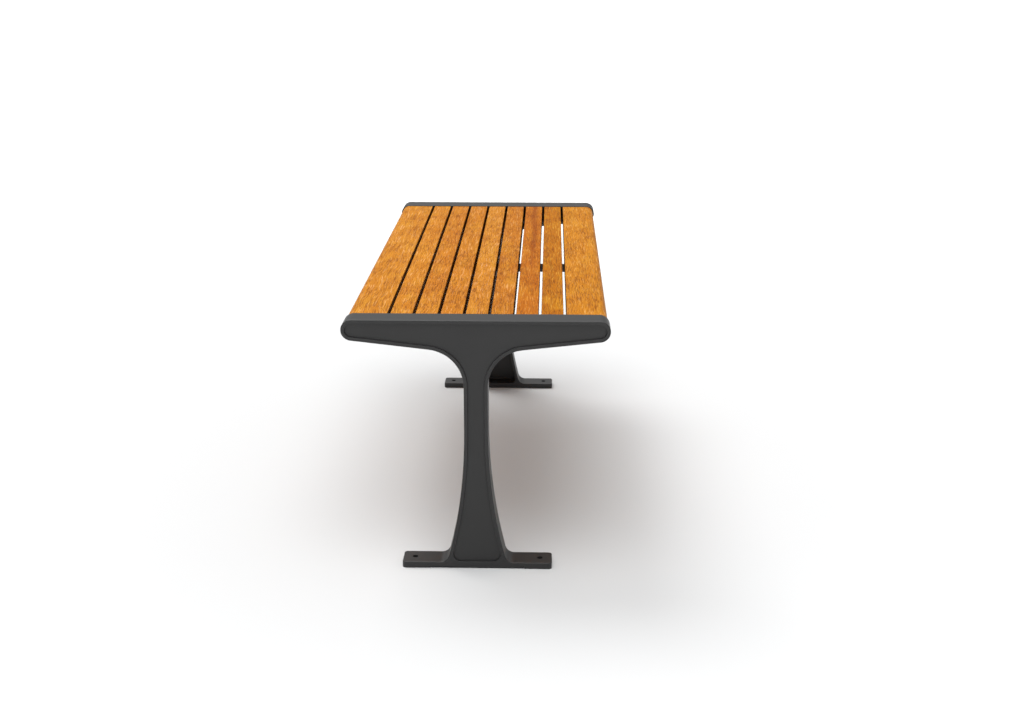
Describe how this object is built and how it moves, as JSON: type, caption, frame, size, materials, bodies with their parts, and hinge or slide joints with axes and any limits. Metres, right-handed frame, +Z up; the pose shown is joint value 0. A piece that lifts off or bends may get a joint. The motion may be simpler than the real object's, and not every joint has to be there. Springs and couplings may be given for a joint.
{
  "type": "backless bench",
  "caption": "Backless street bench with lengthwise timber slats carried by cast T-shaped end legs that have holes for floor anchors.",
  "frame": {"origin": "on the floor, under the middle of the seat", "axes": "+X along the seat, +Y across the seat, +Z up"},
  "size_m": [1.066, 0.452, 0.45],
  "materials": {
    "leg_coat": "cast aluminium with a satin dark grey powder coat",
    "slat_timber": "planed hardwood, oiled, satin",
    "support_coat": "flat steel with a satin dark grey powder coat",
    "fixing_steel": "stainless steel fasteners, satin"
  },
  "bodies": {
    "root": {"bracket_bolts_left": "fixing_steel", "bracket_bolts_right": "fixing_steel", "bracket_washers_left": "fixing_steel", "bracket_washers_right": "fixing_steel", "leg_casting_left": "leg_coat", "leg_casting_right": "leg_coat", "mid_support_bar": "support_coat", "slat_1": "slat_timber", "slat_2": "slat_timber", "slat_3": "slat_timber", "slat_4": "slat_timber", "slat_5": "slat_timber", "slat_6": "slat_timber", "slat_7": "slat_timber", "slat_8": "slat_timber", "slat_9": "slat_timber", "slat_bracket_left": "support_coat", "slat_bracket_right": "support_coat", "slat_screws_left": "fixing_steel", "slat_screws_middle": "fixing_steel", "slat_screws_right": "fixing_steel"}
  },
  "joints": []
}
